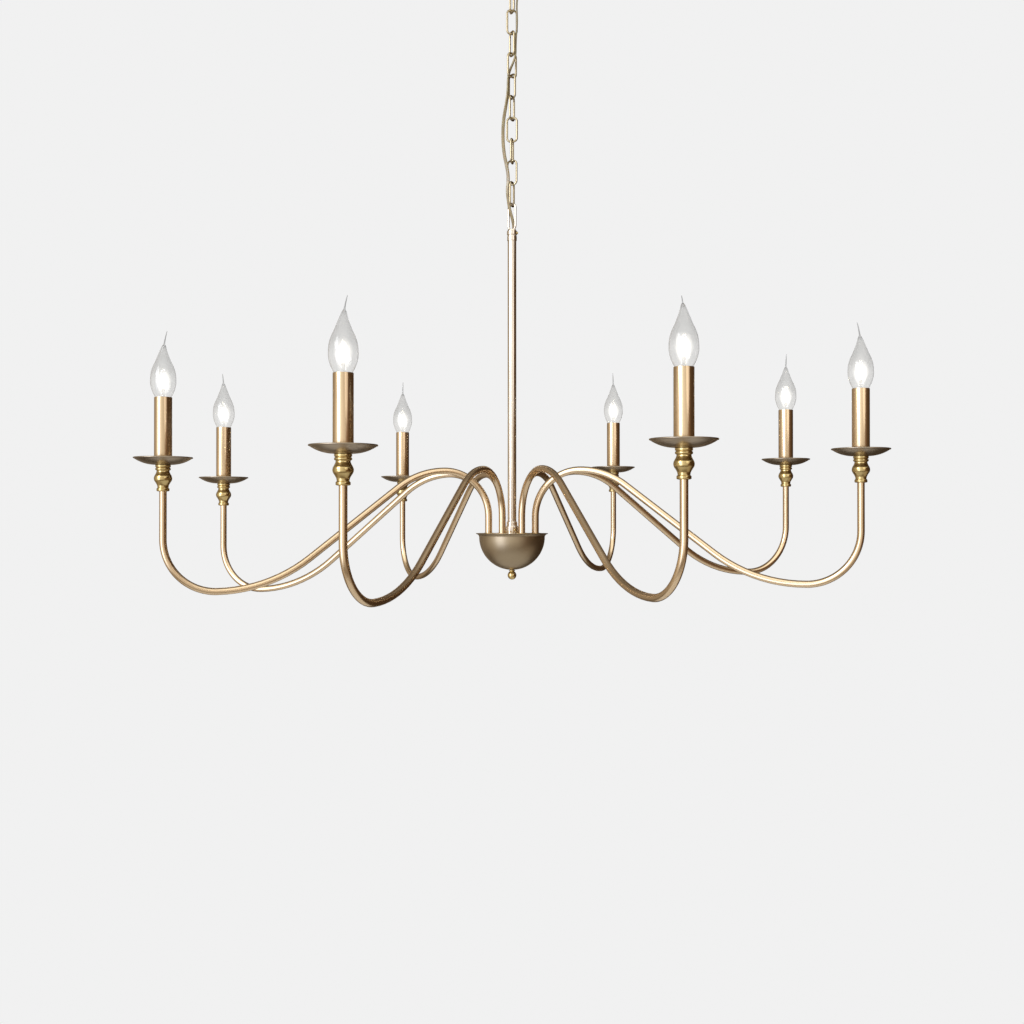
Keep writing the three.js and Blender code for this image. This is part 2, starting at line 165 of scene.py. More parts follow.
CANOPY_BOTTOM = -CANOPY_DEPTH
COLLAR_TOP = CANOPY_BOTTOM - GAP
LOOP_MIDDLE = COLLAR_TOP - LOOP_COLLAR_HEIGHT - LOOP_RADIUS + LOOP_WIRE / 2
FIRST_PIVOT = LOOP_MIDDLE - LOOP_RADIUS
LINK_PITCH = LINK_HEIGHT - LINK_WIRE - GAP
TOP_LINK = FIRST_PIVOT + (LOOP_WIRE + LINK_WIRE) / 2 + GAP - LINK_HEIGHT
LINK_PIVOTS = [TOP_LINK - i * LINK_PITCH for i in range(len(LINK_YAWS))]
LINK_MIDDLES = [pivot + LINK_HEIGHT / 2 for pivot in LINK_PIVOTS]
RING_TOP = LINK_PIVOTS[-1] + (LINK_WIRE + RING_WIRE) / 2 + GAP
TOP_COLLAR_TOP = RING_TOP - RING_HEIGHT + RING_SINK
STEM_TOP = TOP_COLLAR_TOP - TOP_COLLAR_HEIGHT + STEM_GRIP
PLATE_TOP = TOP_COLLAR_TOP - TOP_COLLAR_HEIGHT - STEM_VISIBLE

# Over the underside of a candle's cup.
PAN_BASE = CUP_HEIGHT + GAP
SLEEVE_BASE = PAN_BASE + PAN_WALL + GAP
SLEEVE_TOP = SLEEVE_BASE + SLEEVE_LENGTH
GLASS_BASE = SLEEVE_TOP - 8
HOLDER_TOP = GLASS_BASE - 1
CAP_BOTTOM = GLASS_BASE - CAP_LENGTH

# ---- Mesh tools ----


class Shape:
    """Points and faces, in millimetres, of one piece; each part of it is a closed surface of its own."""

    def __init__(self):
        self.points = []
        self.faces = []
        self.marks = []

    def add(self, part, place=Matrix()):
        points, faces = part[0], part[1]
        start = len(self.points)
        self.points += [place @ Vector(point) for point in points]
        self.faces += [[start + i for i in face] for face in faces]
        self.marks += part[2] if len(part) > 2 else [(0.0, 0.0)] * len(points)
        return self


# Edges that turn by more than this many degrees are shaded as sharp.
SHARP_ANGLE = 32


def make_piece(name, shape, material, body, replaces=()):
    """A smooth-shaded object that rides on a body."""
    mesh = bpy.data.meshes.new(name)
    mesh.from_pydata([point * MM for point in shape.points], [], shape.faces)
    mesh.polygons.foreach_set("use_smooth", [True] * len(mesh.polygons))
    mesh.set_sharp_from_angle(angle=math.radians(SHARP_ANGLE))
    mesh.materials.append(material)
    piece = bpy.data.objects.new(name, mesh)
    bpy.context.scene.collection.objects.link(piece)
    if body:
        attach(piece, body)
    if replaces:
        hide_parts(*replaces)
    return piece


def mark_points(piece, name, values):
    """Gives every point of a piece a value that its material can read."""
    piece.data.attributes.new(name, "FLOAT", "POINT").data.foreach_set("value", values)


def rounded(profile, radius, steps=4, closed=False):
    """The profile with its sharp corners turned into small arcs."""
    result = []
    last = len(profile) - 1
    for i, corner in enumerate(profile):
        here = Vector(corner)
        if not closed and i in (0, last):
            result.append(here)
            continue
        before = Vector(profile[i - 1]) - here
        after = Vector(profile[(i + 1) % len(profile)]) - here
        if before.angle(-after) < math.radians(14):
            result.append(here)
            continue
        trim = min(radius, before.length * 0.48, after.length * 0.48)
        start = here + before.normalized() * trim
        end = here + after.normalized() * trim
        for k in range(steps + 1):
            t = k / steps
            result.append(start * (1 - t) ** 2 + here * (2 * t * (1 - t)) + end * t * t)
    return result


def curved(points, steps=6):
    """A smooth curve through the points of a profile or a path."""
    knots = [Vector(point) for point in points]
    result = []
    for i in range(len(knots) - 1):
        before = knots[max(i - 1, 0)]
        start = knots[i]
        end = knots[i + 1]
        after = knots[min(i + 2, len(knots) - 1)]
        for k in range(steps):
            t = k / steps
            result.append(
                start * (2 * t**3 - 3 * t**2 + 1)
                + (end - before) * (0.5 * (t**3 - 2 * t**2 + t))
                + end * (3 * t**2 - 2 * t**3)
                + (after - start) * (0.5 * (t**3 - t**2))
            )
    result.append(knots[-1])
    return result


def arc(middle, radius, start, end, steps):
    """Points of a profile's arc, with its angles in degrees from the radius's direction."""
    result = []
    for i in range(steps + 1):
        angle = math.radians(start + (end - start) * i / steps)
        result.append((middle[0] + radius * math.cos(angle), middle[1] + radius * math.sin(angle)))
    return result


def lathe(profile, segments=64, closed=False, corners=0):
    """A turned shape about Z; with corners, its rings are polygons with that many sides."""
    points = []
    rings = []
    for radius, height in profile:
        if radius < 1e-6:
            rings.append([len(points)])
            points.append(Vector((0, 0, height)))
            continue
        rings.append(list(range(len(points), len(points) + segments)))
        for i in range(segments):
            angle = 2 * math.pi * i / segments
            reach = radius
            if corners:
                part = 2 * math.pi / corners
                reach = radius * math.cos(part / 2) / math.cos((angle % part) - part / 2)
            points.append(Vector((reach * math.cos(angle), reach * math.sin(angle), height)))
    if closed:
        rings.append(rings[0])
    faces = []
    for low, high in zip(rings, rings[1:]):
        for i in range(segments):
            j = (i + 1) % segments
            if len(low) == 1 and len(high) == 1:
                continue
            if len(low) == 1:
                faces.append([low[0], high[j], high[i]])
            elif len(high) == 1:
                faces.append([low[i], low[j], high[0]])
            else:
                faces.append([low[i], low[j], high[j], high[i]])
    return points, faces


def turned(profile, soft, segments, steps=4, closed=False):
    """A shape with the profile's corners softened, spun about Z."""
    return Shape().add(lathe(rounded(profile, soft, steps, closed), segments, closed))


def circle(radius, sides):
    return [
        (radius * math.cos(2 * math.pi * i / sides), radius * math.sin(2 * math.pi * i / sides))
        for i in range(sides)
    ]


def sweep(path, section, across, closed=False, swell=None, capped=True, inward=False):
    """A section carried along a path. Across is the direction of its first axis, for all or each point."""
    count = len(path)
    sides = len(section)
    points = []
    marks = []
    along = 0
    for i, here in enumerate(path):
        before = path[i - 1] if closed or i else here
        after = path[(i + 1) % count] if closed or i < count - 1 else here
        forward = (after - before).normalized()
        hint = across[i] if isinstance(across, list) else across
        side = (hint - forward * hint.dot(forward)).normalized()
        up = forward.cross(side)
        scale = swell[i] if swell else 1
        along += (here - before).length if i else 0
        for x, y in section:
            points.append(here + side * (x * scale) + up * (y * scale))
            marks.append((x, along))
    faces = []
    for i in range(count if closed else count - 1):
        j = (i + 1) % count
        for k in range(sides):
            m = (k + 1) % sides
            faces.append([i * sides + k, i * sides + m, j * sides + m, j * sides + k])
    if capped and not closed:
        faces.append(list(range(sides - 1, -1, -1)))
        faces.append([(count - 1) * sides + k for k in range(sides)])
    if inward:
        faces = [face[::-1] for face in faces]
    return points, faces, marks


def pipe(path, outer, inner, across, sides=32):
    """A hollow tube along a path, with its two cut ends."""
    outside = sweep(path, circle(outer, sides), across, capped=False)
    inside = sweep(path, circle(inner, sides), across, capped=False, inward=True)
    start = len(outside[0])
    faces = outside[1] + [[start + i for i in face] for face in inside[1]]
    last = (len(path) - 1) * sides
    for k in range(sides):
        m = (k + 1) % sides
        faces.append([start + k, start + m, m, k])
        faces.append([last + k, last + m, start + last + m, start + last + k])
    return outside[0] + inside[0], faces


def ring_path(width, height, corner, steps=14):
    """A rounded rectangle round the origin, in the XZ plane."""
    path = []
    for quarter in range(4):
        middle_x = (width / 2 - corner) * (1 if quarter in (0, 3) else -1)
        middle_z = (height / 2 - corner) * (1 if quarter < 2 else -1)
        for i in range(steps + 1):
            angle = math.radians(90 * quarter + 90 * i / steps)
            point = Vector((middle_x + corner * math.cos(angle), 0, middle_z + corner * math.sin(angle)))
            if not path or (point - path[-1]).length > 1e-4:
                path.append(point)
    if (path[0] - path[-1]).length < 1e-4:
        path.pop()
    return path


def up(height):
    return Matrix.Translation((0, 0, height))


def turn(degrees, axis="Z"):
    return Matrix.Rotation(math.radians(degrees), 4, axis)


# ---- Materials ----


class Graph:
    """A node tree that is wired by short calls."""

    def __init__(self, owner):
        owner.use_nodes = True
        self.tree = owner.node_tree
        self.tree.nodes.clear()

    def add(self, kind, inputs=None, **settings):
        node = self.tree.nodes.new(kind)
        for key, value in settings.items():
            setattr(node, key, value)
        for key, value in (inputs or {}).items():
            if isinstance(value, bpy.types.NodeSocket):
                self.tree.links.new(value, node.inputs[key])
            else:
                node.inputs[key].default_value = value
        return node

    def math(self, operation, *values):
        node = self.add("ShaderNodeMath", dict(enumerate(values)), operation=operation)
        return node.outputs[0]

    def noise(self, scale, detail=4, roughness=0.5):
        coords = self.add("ShaderNodeTexCoord").outputs["Object"]
        inputs = {"Vector": coords, "Scale": scale, "Detail": detail, "Roughness": roughness}
        return self.add("ShaderNodeTexNoise", inputs).outputs["Fac"]

    def spread(self, value, low, high, start=0.3, end=0.7):
        inputs = {"Value": value, "From Min": start, "From Max": end, "To Min": low, "To Max": high}
        return self.add("ShaderNodeMapRange", inputs).outputs[0]

    def ramp(self, value, stops):
        node = self.add("ShaderNodeValToRGB", {"Fac": value})
        node.color_ramp.interpolation = "EASE"
        elements = node.color_ramp.elements
        while len(elements) < len(stops):
            elements.new(0.5)
        for element, (place, color) in zip(elements, stops):
            element.position = place
            element.color = (*color, 1)
        return node.outputs["Color"]

    def mix(self, factor, first, second, blend="MIX"):
        inputs = {"Factor": factor, 6: first, 7: second}
        node = self.add("ShaderNodeMix", inputs, data_type="RGBA", blend_type=blend)
        return node.outputs[2]

    def bump(self, height, strength, depth):
        inputs = {"Height": height, "Strength": strength, "Distance": depth}
        return self.add("ShaderNodeBump", inputs).outputs[0]

    def surface(self, inputs):
        """Ends the tree in one Principled shader."""
        shader = self.add("ShaderNodeBsdfPrincipled", inputs)
        self.finish("ShaderNodeOutputMaterial", shader.outputs[0])

    def finish(self, kind, shader, target="Surface"):
        output = next((node for node in self.tree.nodes if node.bl_idname == kind), None)
        output = output or self.add(kind)
        self.tree.links.new(shader, output.inputs[target])


def new_material(name):
    material = bpy.data.materials.new(name)
    return material, Graph(material)


def shade(color, factor):
    return tuple(min(1, part * factor) for part in color)


# Metals: how much rougher the worn patches are, and how deep the grain is in metres.
WEAR = 0.04
GRAIN_DEPTH = 0.0004


def metal(name, color, roughness, tone=0.08, spread=0.05, grain=700, relief=0.03):
    """Metal with slight tarnish and a fine surface grain."""
    material, graph = new_material(name)
    clouds = graph.noise(12, detail=1, roughness=0.3)
    fine = graph.noise(grain, detail=3)
    tarnish = graph.ramp(clouds, [(0.32, shade(color, 1 - tone)), (0.68, shade(color, 1 + tone))])
    worn = graph.spread(clouds, 0, WEAR)
    rough = graph.math("ADD", graph.spread(fine, roughness - spread, roughness + spread), worn)
    graph.surface(
        {
            "Base Color": tarnish,
            "Metallic": 1.0,
            "Roughness": rough,
            "Normal": graph.bump(fine, relief, GRAIN_DEPTH),
        }
    )
    return material


def plain(name, color, roughness, tone=0.06, coat=0.0):
    """Moulded plastic or porcelain, faintly mottled."""
    material, graph = new_material(name)
    clouds = graph.noise(60, detail=4)
    fine = graph.noise(500, detail=2)
    graph.surface(
        {
            "Base Color": graph.ramp(clouds, [(0.3, shade(color, 1 - tone)), (0.7, shade(color, 1 + tone))]),
            "Roughness": graph.spread(fine, roughness - 0.06, roughness + 0.06),
            "Normal": graph.bump(fine, 0.05, 0.0003),
            "Coat Weight": coat,
        }
    )
    return material


def cord_sheath():
    """Clear tinted sheath: the two conductors show through it as darker twisted strands."""
    material, graph = new_material("cord_sheath")
    across = graph.add("ShaderNodeAttribute", attribute_name="across").outputs["Fac"]
    along = graph.add("ShaderNodeAttribute", attribute_name="along").outputs["Fac"]
    from_core = graph.math("ABSOLUTE", graph.math("SUBTRACT", graph.math("ABSOLUTE", across), 1.2))
    core = graph.spread(from_core, 1, 0, 0.25, 0.75)
    lay = graph.math("ADD", graph.math("MULTIPLY", along, 1.9), graph.math("MULTIPLY", across, 3.2))
    strands = graph.spread(graph.math("SINE", lay), 0.55, 1.0, -1, 1)
    clouds = graph.noise(90, detail=3)
    sheath = graph.ramp(clouds, [(0.3, (0.25, 0.20, 0.10)), (0.7, (0.37, 0.31, 0.17))])
    copper = graph.mix(strands, (0.10, 0.06, 0.02, 1), (0.26, 0.17, 0.07, 1))
    graph.surface(
        {
            "Base Color": graph.mix(graph.math("MULTIPLY", core, 0.75), sheath, copper),
            "Roughness": graph.spread(graph.noise(400), 0.22, 0.34),
            "Normal": graph.bump(clouds, 0.08, 0.0004),
            "Coat Weight": 0.5,
            "Coat Roughness": 0.1,
            "Subsurface Weight": 0.15,
            "Subsurface Scale": 0.002,
        }
    )
    return material


def lamp_glass():
    """Clear blown glass, very faintly uneven; its colour is greyed towards its point and along its drawn tail
    as painted shade, and a faint grey absorption fills its depth.
    """
    material, graph = new_material("lamp_glass")
    waves = graph.noise(70, detail=2)
    share = graph.add("ShaderNodeAttribute", attribute_name="share").outputs["Fac"]
    # Painted shade: the clear glass's colour darkens with height towards its point and along its tail.
    stops = [(0.32, 0.97), (0.56, 0.88), (0.84, 0.85), (0.92, 0.72), (0.97, 0.5)]
    reach = graph.math("MULTIPLY", share, 0.9)
    painted_grey_tip = graph.ramp(reach, [(at, (tint, tint * 0.995, tint * 0.985)) for at, tint in stops])
    uneven = graph.ramp(waves, [(0.3, (0.97, 0.975, 0.975)), (0.7, (1, 1, 1))])
    graph.surface(
        {
            "Base Color": graph.mix(1.0, painted_grey_tip, uneven, "MULTIPLY"),
            "Roughness": graph.spread(waves, 0.0, 0.02),
            "Normal": graph.bump(waves, 0.03, 0.0004),
            "Transmission Weight": 1.0,
            "IOR": 1.45,
        }
    )
    smoke = graph.add("ShaderNodeVolumeAbsorption", {"Color": (0.5, 0.5, 0.52, 1), "Density": 90.0})
    graph.finish("ShaderNodeOutputMaterial", smoke.outputs[0], "Volume")
    return material


# A lamp's lit middle: light given off per metre of depth, how far from its middle it reaches as a share of
# its box, and how quickly it fades.
GLOW_STRENGTH = 105
GLOW_REACH = 0.52
GLOW_FADE = 1.3


def lamp_glow():
    """The lit middle of a lamp: light that gathers through its depth and fades towards its skin."""
    material, graph = new_material("lamp_glow")
    flicker = graph.noise(120, detail=2)
    graph.surface(
        {
            "Base Color": (1, 0.97, 0.9, 1),
            "Roughness": 1.0,
            "Specular IOR Level": 0.0,
            "Alpha": graph.spread(flicker, 0.0, 0.01),
            "Emission Color": graph.ramp(flicker, [(0.3, (1, 0.95, 0.84)), (0.7, (1, 0.99, 0.94))]),
            "Emission Strength": 1.5,
        }
    )
    box = graph.add("ShaderNodeTexCoord").outputs["Generated"]
    middle = graph.add("ShaderNodeVectorMath", {0: box, 1: (0.5, 0.5, 0.5)}, operation="SUBTRACT").outputs[0]
    depth = graph.add("ShaderNodeVectorMath", {0: middle}, operation="LENGTH").outputs["Value"]
    fade = graph.math("POWER", graph.spread(depth, 1, 0, 0.0, GLOW_REACH), GLOW_FADE)
    light = graph.math("MULTIPLY", fade, GLOW_STRENGTH)
    volume = graph.add("ShaderNodeEmission", {"Color": (1, 0.965, 0.89, 1), "Strength": light})
    graph.finish("ShaderNodeOutputMaterial", volume.outputs[0], "Volume")
    return material


def filament():
    material, graph = new_material("filament")
    hot = graph.noise(900, detail=2)
    graph.surface(
        {
            "Base Color": graph.ramp(hot, [(0.3, (0.8, 0.7, 0.5)), (0.7, (1, 0.9, 0.7))]),
            "Roughness": 0.4,
            "Emission Color": graph.ramp(hot, [(0.3, (1, 0.85, 0.6)), (0.7, (1, 0.95, 0.8))]),
            "Emission Strength": 12.0,
        }
    )
    return material


FINE_GRAIN = {"spread": 0.01, "grain": 2400, "relief": 0.004}
satin_gold = metal("satin_gold", (0.79, 0.61, 0.395), 0.17, tone=0.05, **FINE_GRAIN)
stem_gold = metal("stem_gold", (0.88, 0.80, 0.68), 0.15, tone=0.04, **FINE_GRAIN)
polished_brass = metal("polished_brass", (0.62, 0.48, 0.22), 0.05, tone=0.05, **FINE_GRAIN)
pan_finish = metal("pan_champagne", (0.42, 0.35, 0.26), 0.28, tone=0.08, spread=0.03, relief=0.015)
bowl_finish = metal("bowl_champagne", (0.40, 0.32, 0.21), 0.34, tone=0.06, spread=0.03, relief=0.015)
chain_brass = metal("chain_brass", (0.52, 0.44, 0.28), 0.14, tone=0.08, spread=0.02, relief=0.01)
zinc = metal("zinc_steel", (0.62, 0.62, 0.60), 0.42, tone=0.15, spread=0.1)
nickel = metal("lead_nickel", (0.55, 0.54, 0.52), 0.3)
tinned = metal("cap_tinned", (0.72, 0.70, 0.66), 0.28, tone=0.1)
porcelain = plain("holder_porcelain", (0.80, 0.79, 0.75), 0.3, tone=0.03, coat=0.4)
bushing_nylon = plain("bushing_nylon", (0.62, 0.58, 0.48), 0.4)
sheath = cord_sheath()
glass = lamp_glass()
glow = lamp_glow()
hot_wire = filament()

# ---- Cord ----

# The cord's route, as in the CAD model, in metres.
CORD_ROUTE = [
    (0.015, 0, -0.0353), (0.0148, -0.0003, -0.041), (0.0132, -0.0010, -0.049),
    (0.0106, -0.0019, -0.057), (0.0084, -0.0025, -0.065), (0.0073, -0.0028, -0.074),
    (0.0072, -0.0029, -0.085), (0.0076, -0.0029, -0.096), (0.0075, -0.0029, -0.107),
    (0.0067, -0.0028, -0.117), (0.0060, -0.0027, -0.127), (0.0056, -0.0026, -0.137),
    (0.0054, -0.0025, -0.149), (0.0041, -0.0020, -0.1565), (0.0010, -0.0011, -0.165),
    (-0.0025, -0.0001, -0.173), (-0.0050, 0.0004, -0.181), (-0.0059, 0.0003, -0.190),
    (-0.0062, -0.0001, -0.201), (-0.0070, -0.0005, -0.213), (-0.0088, -0.0008, -0.226),
    (-0.0110, -0.0010, -0.239), (-0.0128, -0.0012, -0.252), (-0.0136, -0.0016, -0.265),
    (-0.0136, -0.0022, -0.278), (-0.0129, -0.0030, -0.291), (-0.0112, -0.0038, -0.305),
    (-0.0086, -0.0043, -0.318), (-0.0064, -0.0040, -0.330), (-0.0056, -0.0030, -0.342),
    (-0.0066, -0.0028, -0.351), (-0.0068, -0.0028, -0.361), (-0.0056, -0.0020, -0.371),
    (-0.0044, -0.0011, -0.380), (-0.0024, -0.0001, -0.389), (0.0002, 0.0013, -0.398),
    (0.0020, 0.0024, -0.406), (0.0025, 0.0028, -0.412), (0.0025, 0.0028, -0.418),
]
# How the flat cord is turned about the vertical on its way down: height in metres, then degrees.
CORD_TURNS = [
    (-0.0353, 90), (-0.15, 85), (-0.20, 60), (-0.25, 5),
    (-0.30, -10), (-0.36, -30), (-0.39, -42), (-0.42, -42),
]


def cord_turn(height):
    for (high, first), (low, second) in zip(CORD_TURNS, CORD_TURNS[1:]):
        if height >= low:
            t = min(1, max(0, (high - height) / (high - low)))
            return first + (second - first) * t * t * (3 - 2 * t)
    return CORD_TURNS[-1][1]


# The cord's two round sides: how far each runs either way in degrees, and in how many steps.
LOBE_SWEEP = 112
LOBE_STEPS = 9


def twin_section(width, thickness):
    """Two round conductors side by side under one sheath, with a shallow groove between them."""
    lobe = thickness / 2
    middle = width / 2 - lobe
    right = [(middle + x, y) for x, y in arc((0, 0), lobe, -LOBE_SWEEP, LOBE_SWEEP, LOBE_STEPS)]
    left = [(-x, -y) for x, y in right]
    return right + left


def make_cord():
    """The cord, as one stretch for each hinge of the chain."""
    smooth = curved([Vector(point) / MM for point in CORD_ROUTE], 5)
    cuts = [0]
    for middle in LINK_MIDDLES:
        cuts.append(min(range(len(smooth)), key=lambda i: abs(smooth[i].z - middle)))
    cuts.append(len(smooth) - 1)
    bodies = ["ceiling_set"] + [f"link_{i + 1:02d}" for i in range(len(LINK_YAWS))] + ["fixture"]
    across = []
    for point in smooth:
        angle = math.radians(cord_turn(point.z * MM))
        across.append(Vector((math.cos(angle), math.sin(angle), 0)))
    whole = sweep(smooth, twin_section(CORD_WIDTH, CORD_THICKNESS), across, capped=False)
    sides = len(twin_section(CORD_WIDTH, CORD_THICKNESS))
    for k in range(len(bodies) - 1):
        first, last = cuts[k], cuts[k + 1]
        points = whole[0][first * sides : (last + 1) * sides]
        marks = whole[2][first * sides : (last + 1) * sides]
        faces = [[i - first * sides for i in face] for face in whole[1][first * sides : last * sides]]
        shape = Shape().add((points, faces, marks))
        piece = make_piece(f"cord_stretch_{k + 1:02d}", shape, sheath, None, ["supply_cord"])
        for name, index in (("across", 0), ("along", 1)):
            mark_points(piece, name, [mark[index] for mark in shape.marks])
        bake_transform(piece)


make_cord()

# ---- Ceiling set ----


def make_canopy():
    bend_width = CANOPY_RADIUS - CANOPY_FLAT
    bend_height = CANOPY_DEPTH - CANOPY_SKIRT

    def side(inset):
        return [
            (
                CANOPY_FLAT + (bend_width - inset) * math.cos(math.radians(angle)),
                -CANOPY_SKIRT - (bend_height - inset) * math.sin(math.radians(angle)),
            )
            for angle in range(0, 91, 6)
        ]

    hole = NIPPLE_RADIUS + GAP
    outside = [(hole, -CANOPY_DEPTH)] + side(0)[::-1] + [(CANOPY_RADIUS, -1.6), (CANOPY_RADIUS, 0)]
    inside = [(CANOPY_RADIUS - CANOPY_WALL, 0)] + side(CANOPY_WALL) + [(hole, CANOPY_WALL - CANOPY_DEPTH)]
    canopy = turned(outside + inside, 0.5, 128, 3, closed=True)
    make_piece("canopy_shell", canopy, satin_gold, "ceiling_set", ["canopy"])
    low = CANOPY_BOTTOM - GLAND_LENGTH
    bore = CORD_WIDTH / 2 + 0.15
    gland = [
        (bore, CANOPY_BOTTOM + 1.4),
        (bore, low),
        (GLAND_RADIUS - 1.2, low),
        (GLAND_RADIUS - 0.4, low + 1.6),
        (GLAND_RADIUS - 0.4, low + 4.4),
        (GLAND_RADIUS, low + 4.8),
        (GLAND_RADIUS, CANOPY_BOTTOM + 1.4),
    ]
    beside = Matrix.Translation((GLAND_OFFSET, 0, 0))
    shape = Shape().add(lathe(rounded(gland, 0.4, 3, closed=True), 36, closed=True), beside)
    make_piece("cord_gland", shape, bushing_nylon, "ceiling_set", ["canopy"])
    # The strain relief narrows down the cord.
    stations = curved([Vector(point) / MM for point in CORD_ROUTE[:4]], 6)
    swell = [1.0 - 0.3 * i / (len(stations) - 1) for i in range(len(stations))]
    ribs = [s * (1.0 if i % 3 else 0.9) for i, s in enumerate(swell)]
    relief = Shape().add(sweep(stations, circle(3.7, 28), Vector((0, 1, 0)), swell=ribs))
    make_piece("strain_relief", relief, bushing_nylon, "ceiling_set", ["canopy"])


def thread(radius, low, high, pitch=1.5, depth=0.45):
    """A threaded rod's profile, as close rings."""
    turns = int((high - low) / pitch)
    profile = [(0, low), (radius - depth, low)]
    for i in range(turns):
        profile.append((radius, low + (i + 0.5) * pitch))
        profile.append((radius - depth, low + (i + 1) * pitch))
    return profile + [(0, high)]


def make_canopy_loop():
    bottom = COLLAR_TOP - LOOP_COLLAR_HEIGHT
    wide = LOOP_COLLAR_RADIUS
    collar = [
        (0, bottom),
        (wide - 2.4, bottom),
        (wide, bottom + 2.2),
        (wide, COLLAR_TOP - 1.8),
        (wide - 0.7, COLLAR_TOP - 1.4),
        (wide - 0.7, COLLAR_TOP),
        (0, COLLAR_TOP),
    ]
    path = ring_path(2 * LOOP_RADIUS, 2 * LOOP_RADIUS, LOOP_RADIUS, 20)
    ring = sweep(path, circle(LOOP_WIRE / 2, 24), Vector((0, 1, 0)), closed=True)
    shape = turned(collar, 0.7, 64).add(ring, up(LOOP_MIDDLE) @ turn(LOOP_YAW))
    shape.add(lathe(thread(NIPPLE_RADIUS, COLLAR_TOP, NIPPLE_TOP), 40))
    make_piece("canopy_loop_turned", shape, satin_gold, "ceiling_set", ["canopy_loop"])


def make_bracket():
    """The bracket is shown as the CAD model has it: it is flat stock, hidden inside the canopy."""
    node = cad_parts["ceiling_bracket"]
    node.data.materials.clear()
    node.data.materials.append(zinc)


make_canopy()
make_canopy_loop()
make_bracket()

# ---- Chain ----


def make_links():
    path = ring_path(LINK_WIDTH, LINK_HEIGHT, LINK_CORNER, 12)
    legs = []
    for i, point in enumerate(path):
        legs.append(point)
        following = path[(i + 1) % len(path)]
        gap = following - point
        if gap.length > LINK_CORNER:
            legs += [point + gap * (k / 24) for k in range(1, 24)]
    for i, yaw in enumerate(LINK_YAWS):
        seam_height = 3.0 - 1.1 * (i % 4)
        side = 1 if i % 2 else -1
        swell = []
        for point in legs:
            near = abs(point.z - seam_height) if point.x * side > 0 else 99
            bead = 0.05 * math.exp(-((near / 1.6) ** 2)) - 0.09 * math.exp(-((near / 0.45) ** 2))
            swell.append(1 + bead)
        ring = sweep(legs, circle(LINK_WIRE / 2, 20), Vector((0, 1, 0)), closed=True, swell=swell)
        shape = Shape().add(ring, up(LINK_MIDDLES[i]) @ turn(yaw))
        number = f"{i + 1:02d}"
        node = f"chain_link_{number}"
        make_piece(f"link_{number}_wire", shape, chain_brass, f"link_{number}", [node])


make_links()

# ---- Stem ----


def set_screw(radius, height):
    """A cheese-head screw with a round socket, standing along Z on the origin."""
    head = [(0, 0), (radius, 0), (radius, height * 0.7), (radius * 0.86, height), (radius * 0.5, height)]
    socket = [(radius * 0.5, height * 0.35), (0, height * 0.35)]
    points, faces = lathe(rounded(head + socket, 0.25, 2), 36)
    return points, faces


def screw_place(reach, height, yaw):
    return up(height) @ turn(yaw) @ Matrix.Translation((reach, 0, 0)) @ turn(90, "Y")


def make_stem():
    bottom = TOP_COLLAR_TOP - TOP_COLLAR_HEIGHT
    top = TOP_COLLAR_TOP
    wide = TOP_COLLAR_RADIUS
    bore = STEM_RADIUS + 0.05
    collar = [
        (0, STEM_TOP + GAP),
        (bore, STEM_TOP + GAP),
        (bore, bottom),
        (wide - 0.4, bottom),
        (wide - 0.4, bottom + 6.6),
        (wide - 0.9, bottom + 7.2),
        (wide - 0.9, bottom + 8.4),
        (wide, bottom + 9.0),
        (wide, top - 2.6),
        (wide - 1.0, top - 1.8),
        (wide - 1.4, top),
        (0, top),
    ]
    path = ring_path(RING_WIDTH, RING_HEIGHT, RING_WIDTH / 2, 18)
    ring = sweep(path, circle(RING_WIRE / 2, 24), Vector((0, 1, 0)), closed=True)
    ring_place = up(RING_TOP - RING_HEIGHT / 2) @ turn(RING_YAW)
    shape = turned(collar, 0.5, 72).add(ring, ring_place)
    make_piece("stem_loop_turned", shape, stem_gold, "fixture", ["stem_loop"])
    screw = Shape().add(set_screw(1.9, 2.0), screw_place(TOP_COLLAR_RADIUS - 0.5, TOP_COLLAR_TOP - 5.2, -8))
    make_piece("stem_loop_screw", screw, polished_brass, "fixture", ["stem_loop"])
    # A flat bush lines the cord's way in.
    outline = twin_section(CORD_WIDTH + 1.4, CORD_THICKNESS + 1.4)
    middle = turn(RING_YAW) @ Vector((0, ENTRY_OFFSET, 0))
    rise = [Vector((middle.x, middle.y, TOP_COLLAR_TOP + z)) for z in (-3, 0.4, 0.9, 1.1)]
    edge = turn(RING_YAW) @ Vector((1, 0, 0))
    bush = Shape().add(sweep(rise, outline, edge, swell=[0.95, 1.0, 0.97, 0.85]))
    make_piece("cord_bush", bush, bushing_nylon, "fixture", ["stem_loop"])

    tube = [
        (STEM_RADIUS - STEM_WALL, PLATE_TOP - PLATE_THICKNESS),
        (STEM_RADIUS, PLATE_TOP - PLATE_THICKNESS),
        (STEM_RADIUS, STEM_TOP),
        (STEM_RADIUS - STEM_WALL, STEM_TOP),
    ]
    shape = turned(tube, 0.3, 64, 2, closed=True)
    make_piece("stem_tube", shape, stem_gold, "fixture", ["stem"])

    low = PLATE_TOP + GAP
    step = BASE_COLLAR_HEIGHT * 0.6
    neck = BASE_COLLAR_RADIUS - 1.6
    end = PLATE_TOP + BASE_COLLAR_HEIGHT
    wide = BASE_COLLAR_RADIUS
    base = [
        (bore, low),
        (wide, low),
        (wide, low + step - 1.2),
        (wide - 0.5, low + step),
        (neck, low + step + 0.8),
        (neck, end - 1.2),
        (neck - 1, end),
        (bore, end),
    ]
    shape = turned(base, 0.6, 72, closed=True)
    make_piece("stem_collar_turned", shape, stem_gold, "fixture", ["stem_collar"])
    screw = Shape().add(set_screw(2.0, 2.0), screw_place(BASE_COLLAR_RADIUS - 0.7, low + 6, -62))
    make_piece("stem_collar_screw", screw, polished_brass, "fixture", ["stem_collar"])


make_stem()

